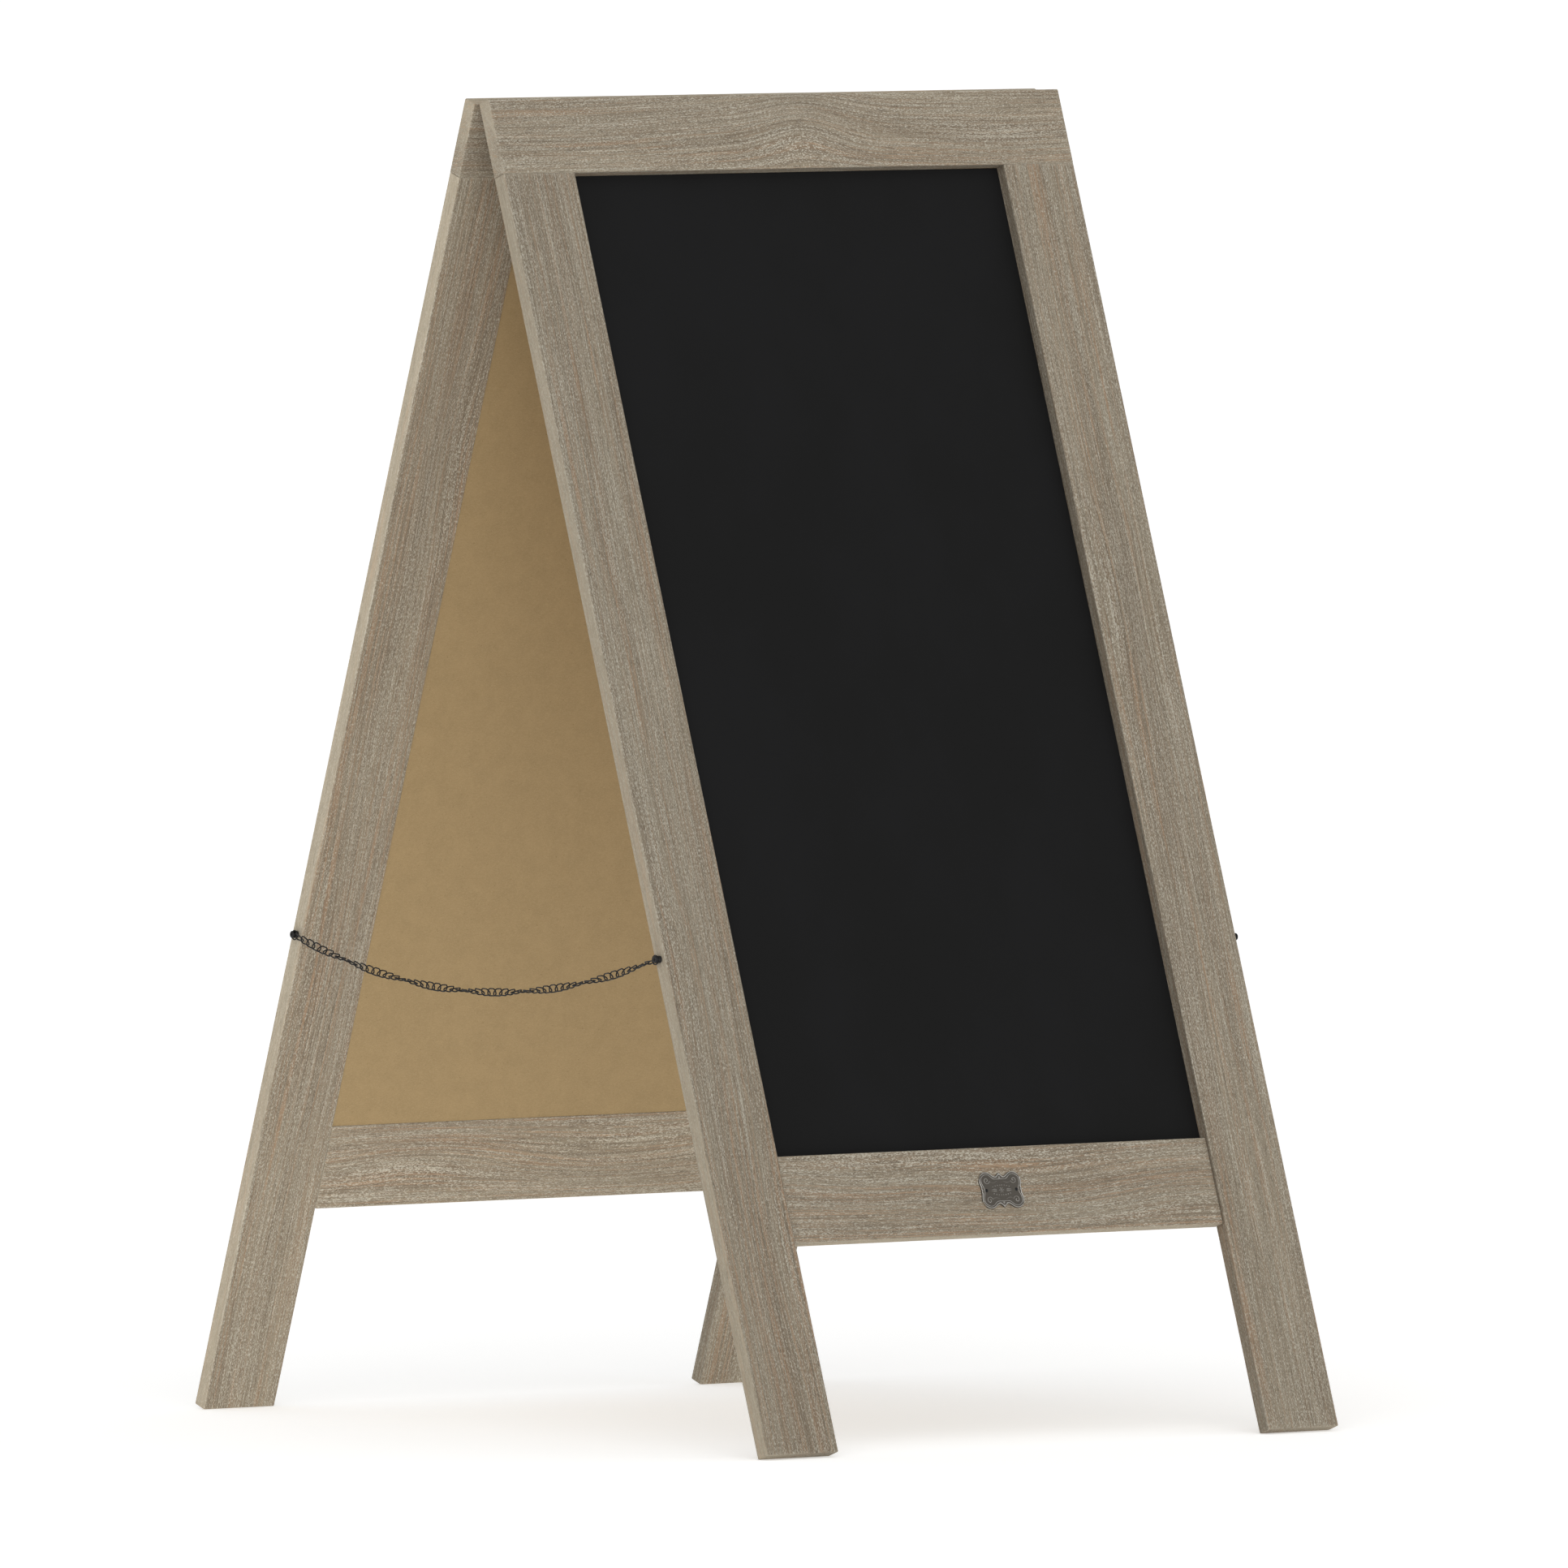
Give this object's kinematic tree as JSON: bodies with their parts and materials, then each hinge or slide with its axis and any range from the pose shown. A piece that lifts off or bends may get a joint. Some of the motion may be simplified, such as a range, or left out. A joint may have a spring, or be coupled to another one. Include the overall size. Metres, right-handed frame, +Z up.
{
  "type": "sandwich board",
  "caption": "Double-sided folding chalkboard: two wood-framed black writing boards hinged along the top, with a tie chain at each side and a small metal badge.",
  "frame": {"origin": "centre of the open board's box at the floor", "axes": "+X across the boards to the viewer's right, front board facing -Y and leaning back, +Z up"},
  "size_m": [0.5224, 0.6822, 0.9486],
  "materials": {
    "weathered_wood": "wire-brushed greige wood with pale flecks and tan bands",
    "hardboard": "plain brown hardboard",
    "chalk_black": "matte black chalk coat",
    "dowel_wood": "plain beech",
    "zinc_steel": "zinc-plated steel",
    "black_metal": "blackened steel, half gloss",
    "pewter": "antique pewter with bright raised edges"
  },
  "bodies": {
    "front_frame": {"front_top_rail": "weathered_wood", "front_left_stile": "weathered_wood", "front_right_stile": "weathered_wood", "front_bottom_rail": "weathered_wood", "front_panel": "hardboard", "front_chalk_face": "chalk_black", "front_joint_dowels": "dowel_wood", "front_hinge_screws": "zinc_steel", "front_chain_screws": "black_metal", "front_chain_spacers": "black_metal", "badge": "pewter", "badge_pins": "black_metal", "left_hinge_front_leaf": "zinc_steel", "left_hinge_pin": "zinc_steel", "right_hinge_front_leaf": "zinc_steel", "right_hinge_pin": "zinc_steel"},
    "back_frame": {"back_top_rail": "weathered_wood", "back_left_stile": "weathered_wood", "back_right_stile": "weathered_wood", "back_bottom_rail": "weathered_wood", "back_panel": "hardboard", "back_chalk_face": "chalk_black", "back_joint_dowels": "dowel_wood", "back_hinge_screws": "zinc_steel", "back_chain_screws": "black_metal", "back_chain_spacers": "black_metal", "left_hinge_back_leaf": "zinc_steel", "right_hinge_back_leaf": "zinc_steel"},
    "left_chain_1": {"left_chain_run_1": "black_metal"},
    "left_chain_2": {"left_chain_run_2": "black_metal"},
    "left_chain_3": {"left_chain_run_3": "black_metal"},
    "left_chain_4": {"left_chain_run_4": "black_metal"},
    "left_chain_5": {"left_chain_run_5": "black_metal"},
    "left_chain_6": {"left_chain_run_6": "black_metal"},
    "left_chain_7": {"left_chain_run_7": "black_metal"},
    "left_chain_8": {"left_chain_run_8": "black_metal"},
    "left_chain_9": {"left_chain_run_9": "black_metal"},
    "left_chain_10": {"left_chain_run_10": "black_metal"},
    "left_chain_11": {"left_chain_run_11": "black_metal"},
    "right_chain_1": {"right_chain_run_1": "black_metal"},
    "right_chain_2": {"right_chain_run_2": "black_metal"},
    "right_chain_3": {"right_chain_run_3": "black_metal"},
    "right_chain_4": {"right_chain_run_4": "black_metal"},
    "right_chain_5": {"right_chain_run_5": "black_metal"},
    "right_chain_6": {"right_chain_run_6": "black_metal"},
    "right_chain_7": {"right_chain_run_7": "black_metal"},
    "right_chain_8": {"right_chain_run_8": "black_metal"},
    "right_chain_9": {"right_chain_run_9": "black_metal"},
    "right_chain_10": {"right_chain_run_10": "black_metal"},
    "right_chain_11": {"right_chain_run_11": "black_metal"}
  },
  "joints": [
    {"name": "fold", "type": "hinge", "parent": "front_frame", "child": "back_frame", "pos_m": [0, 0, 0.94195], "axis": [1, 0, 0], "range_deg": [-38.2, 0], "deforming": ["left_chain_run_4", "left_chain_run_5", "left_chain_run_6", "left_chain_run_7", "left_chain_run_8", "left_chain_run_9", "right_chain_run_4", "right_chain_run_5", "right_chain_run_6", "right_chain_run_7", "right_chain_run_8", "right_chain_run_9"]},
    {"name": "left_chain_bend_1", "type": "hinge", "parent": "front_frame", "child": "left_chain_1", "pos_m": [-0.2582, -0.21595, 0.34687], "axis": [1, 0, 0], "range_deg": [-75.43, 0]},
    {"name": "left_chain_bend_2", "type": "hinge", "parent": "left_chain_1", "child": "left_chain_2", "pos_m": [-0.2582, -0.16248, 0.3331], "axis": [1, 0, 0], "range_deg": [-3.89, 0]},
    {"name": "left_chain_bend_3", "type": "hinge", "parent": "left_chain_2", "child": "left_chain_3", "pos_m": [-0.2582, -0.11319, 0.32392], "axis": [1, 0, 0], "range_deg": [-3.86, 0]},
    {"name": "left_chain_bend_4", "type": "hinge", "parent": "left_chain_3", "child": "left_chain_4", "pos_m": [-0.2582, -0.06151, 0.31783], "axis": [1, 0, 0], "range_deg": [-3.92, 0]},
    {"name": "left_chain_bend_5", "type": "hinge", "parent": "left_chain_4", "child": "left_chain_5", "pos_m": [-0.2582, -0.01142, 0.31538], "axis": [1, 0, 0], "range_deg": [0, 25.62]},
    {"name": "left_chain_bend_6", "type": "hinge", "parent": "left_chain_5", "child": "left_chain_6", "pos_m": [-0.2582, -0.00317, 0.31529], "axis": [1, 0, 0], "range_deg": [0, 33.71]},
    {"name": "left_chain_bend_11", "type": "hinge", "parent": "back_frame", "child": "left_chain_11", "pos_m": [-0.2582, 0.21595, 0.34687], "axis": [1, 0, 0], "range_deg": [0, 113.63]},
    {"name": "left_chain_bend_10", "type": "hinge", "parent": "left_chain_11", "child": "left_chain_10", "pos_m": [-0.2582, 0.16248, 0.3331], "axis": [1, 0, 0], "range_deg": [0, 3.89]},
    {"name": "left_chain_bend_9", "type": "hinge", "parent": "left_chain_10", "child": "left_chain_9", "pos_m": [-0.2582, 0.11319, 0.32392], "axis": [1, 0, 0], "range_deg": [0, 3.86]},
    {"name": "left_chain_bend_8", "type": "hinge", "parent": "left_chain_9", "child": "left_chain_8", "pos_m": [-0.2582, 0.06151, 0.31783], "axis": [1, 0, 0], "range_deg": [0, 3.92]},
    {"name": "left_chain_bend_7", "type": "hinge", "parent": "left_chain_8", "child": "left_chain_7", "pos_m": [-0.2582, 0.01142, 0.31538], "axis": [1, 0, 0], "range_deg": [-57.62, 0]},
    {"name": "right_chain_bend_1", "type": "hinge", "parent": "front_frame", "child": "right_chain_1", "pos_m": [0.2582, -0.21595, 0.34687], "axis": [1, 0, 0], "range_deg": [-75.43, 0]},
    {"name": "right_chain_bend_2", "type": "hinge", "parent": "right_chain_1", "child": "right_chain_2", "pos_m": [0.2582, -0.16248, 0.3331], "axis": [1, 0, 0], "range_deg": [-3.89, 0]},
    {"name": "right_chain_bend_3", "type": "hinge", "parent": "right_chain_2", "child": "right_chain_3", "pos_m": [0.2582, -0.11319, 0.32392], "axis": [1, 0, 0], "range_deg": [-3.86, 0]},
    {"name": "right_chain_bend_4", "type": "hinge", "parent": "right_chain_3", "child": "right_chain_4", "pos_m": [0.2582, -0.06151, 0.31783], "axis": [1, 0, 0], "range_deg": [-3.92, 0]},
    {"name": "right_chain_bend_5", "type": "hinge", "parent": "right_chain_4", "child": "right_chain_5", "pos_m": [0.2582, -0.01142, 0.31538], "axis": [1, 0, 0], "range_deg": [0, 25.62]},
    {"name": "right_chain_bend_6", "type": "hinge", "parent": "right_chain_5", "child": "right_chain_6", "pos_m": [0.2582, -0.00317, 0.31529], "axis": [1, 0, 0], "range_deg": [0, 33.71]},
    {"name": "right_chain_bend_11", "type": "hinge", "parent": "back_frame", "child": "right_chain_11", "pos_m": [0.2582, 0.21595, 0.34687], "axis": [1, 0, 0], "range_deg": [0, 113.63]},
    {"name": "right_chain_bend_10", "type": "hinge", "parent": "right_chain_11", "child": "right_chain_10", "pos_m": [0.2582, 0.16248, 0.3331], "axis": [1, 0, 0], "range_deg": [0, 3.89]},
    {"name": "right_chain_bend_9", "type": "hinge", "parent": "right_chain_10", "child": "right_chain_9", "pos_m": [0.2582, 0.11319, 0.32392], "axis": [1, 0, 0], "range_deg": [0, 3.86]},
    {"name": "right_chain_bend_8", "type": "hinge", "parent": "right_chain_9", "child": "right_chain_8", "pos_m": [0.2582, 0.06151, 0.31783], "axis": [1, 0, 0], "range_deg": [0, 3.92]},
    {"name": "right_chain_bend_7", "type": "hinge", "parent": "right_chain_8", "child": "right_chain_7", "pos_m": [0.2582, 0.01142, 0.31538], "axis": [1, 0, 0], "range_deg": [-57.62, 0]}
  ],
  "couplings": [
    {"joint": "left_chain_bend_1", "follows": "fold", "ratio": 1.9744},
    {"joint": "left_chain_bend_2", "follows": "fold", "ratio": 0.10146},
    {"joint": "left_chain_bend_3", "follows": "fold", "ratio": 0.10066},
    {"joint": "left_chain_bend_4", "follows": "fold", "ratio": 0.10225},
    {"joint": "left_chain_bend_5", "follows": "fold", "ratio": -0.67049},
    {"joint": "left_chain_bend_6", "follows": "fold", "ratio": -0.88214},
    {"joint": "left_chain_bend_11", "follows": "fold", "ratio": -2.9744},
    {"joint": "left_chain_bend_10", "follows": "fold", "ratio": -0.10146},
    {"joint": "left_chain_bend_9", "follows": "fold", "ratio": -0.10066},
    {"joint": "left_chain_bend_8", "follows": "fold", "ratio": -0.10225},
    {"joint": "left_chain_bend_7", "follows": "fold", "ratio": 1.5082},
    {"joint": "right_chain_bend_1", "follows": "fold", "ratio": 1.9744},
    {"joint": "right_chain_bend_2", "follows": "fold", "ratio": 0.10146},
    {"joint": "right_chain_bend_3", "follows": "fold", "ratio": 0.10066},
    {"joint": "right_chain_bend_4", "follows": "fold", "ratio": 0.10225},
    {"joint": "right_chain_bend_5", "follows": "fold", "ratio": -0.67049},
    {"joint": "right_chain_bend_6", "follows": "fold", "ratio": -0.88214},
    {"joint": "right_chain_bend_11", "follows": "fold", "ratio": -2.9744},
    {"joint": "right_chain_bend_10", "follows": "fold", "ratio": -0.10146},
    {"joint": "right_chain_bend_9", "follows": "fold", "ratio": -0.10066},
    {"joint": "right_chain_bend_8", "follows": "fold", "ratio": -0.10225},
    {"joint": "right_chain_bend_7", "follows": "fold", "ratio": 1.5082}
  ]
}
